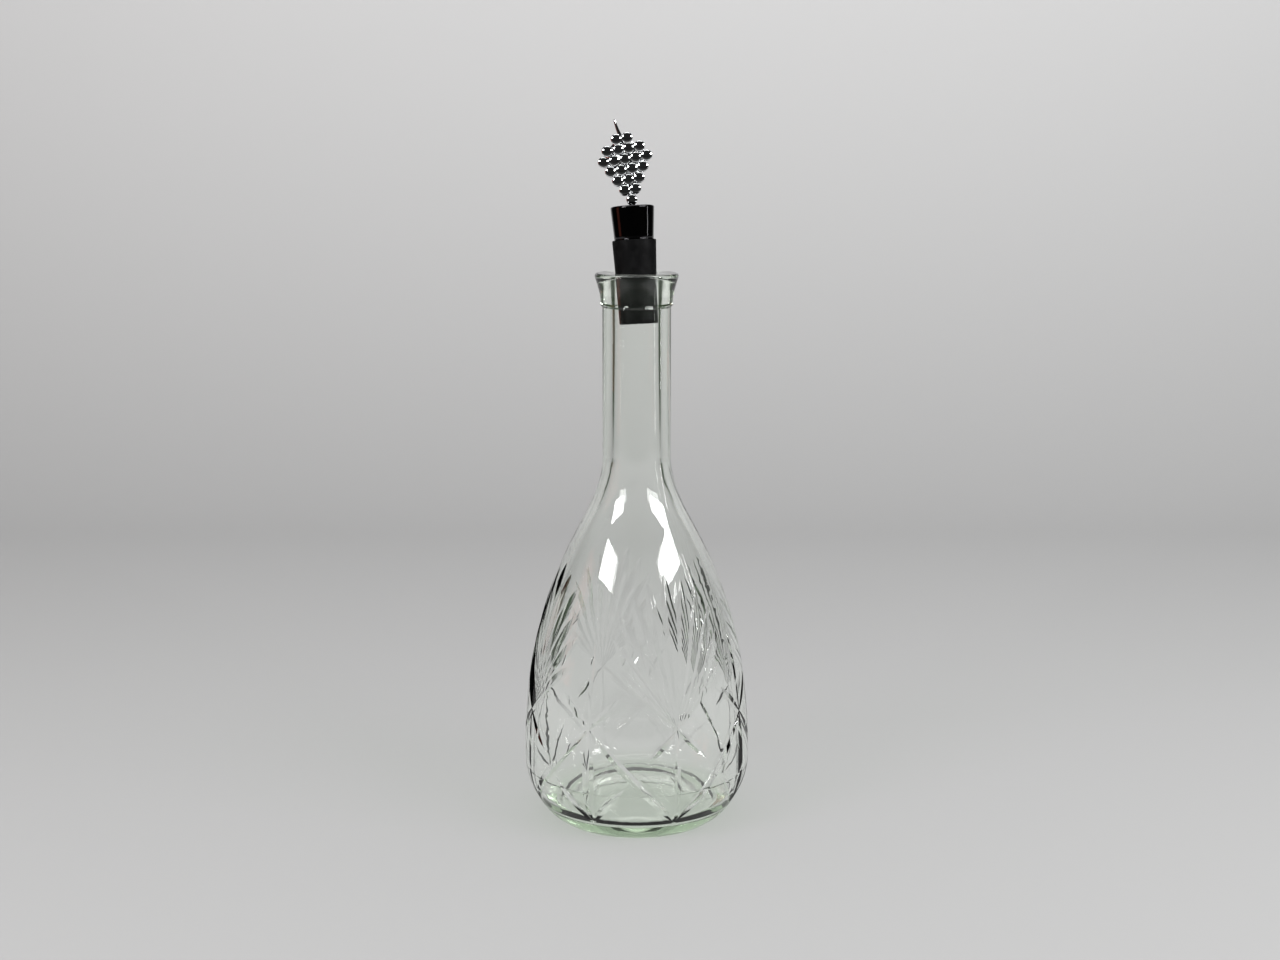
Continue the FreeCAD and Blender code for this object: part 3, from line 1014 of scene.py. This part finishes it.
@dataclass(frozen=True)
class Backdrop:
    """Pale paper that lies under the decanter and curves up behind it.

    The camera sees all of it pale. Reflections and rays through glass see a pale
    sheet with edges at lit_half_width, lit_front and lit_top; beyond them the
    paper is painted dark for these rays, painted shade that stands for a dim
    room. The front edge is for reflections alone, and the sheet is wider for rays
    through glass, with painted light that makes it brighter there.
    """

    half_width: float = 3.0
    front: float = -3.0
    bend_start: float = 0.62
    bend_radius: float = 0.5
    bend_parts: int = 24
    top: float = 2.6
    roughness: float = 0.9
    shine: float = 0.1
    paper: Colour = (0.66, 0.66, 0.66)
    floor: Colour = (0.41, 0.41, 0.41)
    # painted shade: the dark paper that reflections and rays through glass see beyond the lit
    # sheet, standing for a dim room
    room: Colour = (0.03, 0.03, 0.03)
    room_through_glass: Colour = (0.07, 0.095, 0.06)
    lit_half_width: float = 0.7
    wider_through_glass: float = 0.45
    lit_front: float = -0.3
    lit_top: float = 0.62
    fade: float = 0.3
    front_fade: float = 0.08
    # painted light: share by which the paper looks brighter through glass
    gain_through_glass: float = 0.12

    def build(self) -> None:
        """Make the paper and stage it."""
        line = [(self.front, 0.0), (self.bend_start, 0.0)]
        line += rounded((self.bend_start, self.bend_radius), self.bend_radius, -90.0, 0.0,
                        self.bend_parts)[1:]
        line.append((self.bend_start + self.bend_radius, self.top))
        vertices = [(x, y, z) for y, z in line for x in (-self.half_width, self.half_width)]
        faces = [(2 * i, 2 * i + 1, 2 * i + 3, 2 * i + 2) for i in range(len(line) - 1)]
        data = bpy.data.meshes.new("backdrop")
        data.from_pydata(vertices, [], faces)
        data.shade_smooth()
        data.materials.append(self.material())
        linked_object("backdrop", data)

    def beyond_sheet(self, graph: MaterialGraph, axes: bpy.types.NodeOutputs,
                     path: bpy.types.NodeOutputs) -> bpy.types.NodeSocket:
        """Add the mask of the room beyond the sheet's edges.

        Args:
            graph: nodes of the paper.
            axes: place on the paper.
            path: kinds of ray.

        Returns:
            The socket with 0 on the sheet and 1 beyond it, where the paper takes its painted shade,
            and 0 for other rays.
        """
        wider = graph.maths("MULTIPLY", path["Is Transmission Ray"], self.wider_through_glass)
        side = graph.maths("SUBTRACT", graph.maths("ABSOLUTE", axes["X"]), wider)
        front = graph.maths("MULTIPLY", axes["Y"], -1.0)
        beside = graph.ramp(side, self.lit_half_width, self.fade)
        nearer = graph.maths("MULTIPLY", graph.ramp(front, -self.lit_front, self.front_fade),
                             path["Is Glossy Ray"])
        higher = graph.ramp(axes["Z"], self.lit_top, self.fade)
        outside = graph.maths("MAXIMUM", graph.maths("MAXIMUM", beside, nearer), higher)
        bent = graph.maths("MAXIMUM", path["Is Glossy Ray"], path["Is Transmission Ray"])
        return graph.maths("MULTIPLY", outside, bent)

    def material(self) -> bpy.types.Material:
        """Make the paper's finish.

        Returns:
            The node material.
        """
        graph = MaterialGraph("pale_paper", {"Roughness": self.roughness,
                                             "Specular IOR Level": self.shine})
        axes = graph.separate(graph.coordinates.outputs["Object"])
        path = graph.node("ShaderNodeLightPath").outputs
        through_glass = path["Is Transmission Ray"]
        rise = graph.ramp(axes["Z"], 0.0, self.bend_radius)
        pale = graph.node("ShaderNodeVectorMath", operation="SCALE")
        graph.link(graph.mix(rise, self.floor, self.paper), pale.inputs["Vector"])
        # painted light: the paper is painted brighter for rays through glass
        gain = graph.maths("MULTIPLY", through_glass, self.gain_through_glass)
        graph.link(graph.maths("ADD", gain, 1.0), pale.inputs["Scale"])
        # painted shade: beyond the sheet's edges, reflections and rays through glass see the paper
        # dark, as a dim room
        room = graph.mix(through_glass, self.room, self.room_through_glass)
        beyond = self.beyond_sheet(graph, axes, path)
        graph.colour(graph.mix(beyond, pale.outputs["Vector"], room))
        return graph.material


@dataclass(frozen=True)
class Room:
    """World light: pale to the camera, a dim room to metal, greenish through glass."""

    pale: Colour = (0.66, 0.66, 0.67)
    fill: Colour = (0.40, 0.40, 0.40)
    dim: Colour = (0.02, 0.02, 0.02)
    through_glass: Colour = (0.06, 0.085, 0.055)

    def build(self) -> None:
        """Make the world."""
        world = bpy.data.worlds.new("room")
        world.use_nodes = True
        graph = Graph(world.node_tree)
        path = graph.node("ShaderNodeLightPath").outputs
        shown = graph.mix(path["Is Camera Ray"], self.fill, self.pale)
        shown = graph.mix(path["Is Glossy Ray"], shown, self.dim)
        shown = graph.mix(path["Is Transmission Ray"], shown, self.through_glass)
        graph.link(shown, world.node_tree.nodes["Background"].inputs["Color"])
        bpy.context.scene.world = world


@dataclass(frozen=True)
class Softbox:
    """Rectangular lamp that faces the decanter; azimuth 0 is in front, 90 on +X."""

    name: str
    azimuth: float
    elevation: float
    width: float
    height: float
    power: float
    distance: float = 1.45
    colour: Colour = (1.0, 1.0, 1.0)
    aim_height: float = 0.2

    def build(self) -> None:
        """Make the lamp and hide it from the camera."""
        data = bpy.data.lights.new(self.name, "AREA")
        data.shape = "RECTANGLE"
        data.size = self.width
        data.size_y = self.height
        data.energy = self.power
        data.color = self.colour
        lamp = linked_object(self.name, data)
        a, e = math.radians(self.azimuth), math.radians(self.elevation)
        out = Vector((math.sin(a) * math.cos(e), -math.cos(a) * math.cos(e), math.sin(e)))
        lamp.location = out * self.distance + Vector((0.0, 0.0, self.aim_height))
        lamp.rotation_euler = (-out).to_track_quat("-Z", "Y").to_euler()
        lamp.visible_camera = False


@dataclass(frozen=True)
class Viewpoint:
    """Camera in front of the decanter, near the height of its top, looking down."""

    distance: float = 0.8596
    height: float = 0.3447
    pitch: float = 11.36
    roll: float = 0.02
    yaw: float = 0.11
    lens: float = 49.42
    sensor_width: float = 36.0

    def build(self) -> None:
        """Make the camera and set it on the scene."""
        data = bpy.data.cameras.new("camera")
        data.sensor_width = self.sensor_width
        data.lens = self.lens
        camera = linked_object("camera", data)
        turn = (Matrix.Rotation(math.radians(-self.yaw), 4, "Z")
                @ Matrix.Rotation(math.radians(90.0 - self.pitch), 4, "X")
                @ Matrix.Rotation(math.radians(self.roll), 4, "Z"))
        camera.matrix_world = Matrix.Translation((0.0, -self.distance, self.height)) @ turn
        bpy.context.scene.camera = camera


@dataclass(frozen=True)
class Studio:
    """Everything round the decanter that light comes from or falls on."""

    lamps: tuple[Softbox, ...] = (
        Softbox("left_box", azimuth=-50.0, elevation=28.3, width=0.56, height=0.25, power=12.0),
        Softbox("right_box", azimuth=59.0, elevation=28.3, width=0.9, height=0.25, power=16.0),
        Softbox("bright_strip", azimuth=87.0, elevation=5.0, width=0.03, height=0.9, power=1.3),
        Softbox("brown_panel", azimuth=-84.0, elevation=5.0, width=0.4, height=0.9, power=0.8,
                colour=(0.75, 0.2, 0.13)),
        Softbox("top_box", azimuth=0.0, elevation=89.0, width=1.3, height=1.0, power=8.0,
                distance=1.35),
    )

    def build(self) -> None:
        """Make the backdrop, the room, the lamps and the camera."""
        bpy.context.scene.view_settings.view_transform = "Standard"
        Backdrop().build()
        Room().build()
        for lamp in self.lamps:
            lamp.build()
        Viewpoint().build()


# ------------------------------------------------------------------------ main


def replace_node(piece: bpy.types.Object, node: str) -> None:
    """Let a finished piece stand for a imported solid.

    Args:
        piece: finished object.
        node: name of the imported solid.
    """
    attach(piece, BODY)
    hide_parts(node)
    LOG.info("%s replaces %s: %d faces", piece.name, node, len(piece.data.polygons))


def main() -> None:
    """Build the scene."""
    logging.basicConfig(level=logging.INFO, format="%(name)s: %(message)s")
    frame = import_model()
    nodes = frame["nodes"]
    Studio().build()
    GlassVessel(nodes["decanter_glass"]).dress(PressedGlass().build())
    axis = StopperFrame.from_nodes(nodes["stopper_plug"], nodes["stopper_cap"])
    plug = StopperPlug(axis, nodes["stopper_plug"]).build(MattRubber().build())
    cap = StopperCap(axis, nodes["stopper_cap"]).build(BLACK_CHROME.build())
    bunch = GrapeBunch(axis, nodes["stopper_cap"]).build(BRIGHT_CHROME.build())
    replace_node(plug, "stopper_plug")
    replace_node(cap, "stopper_cap")
    replace_node(bunch, "grape_cluster")


if __name__ == "__main__":
    main()
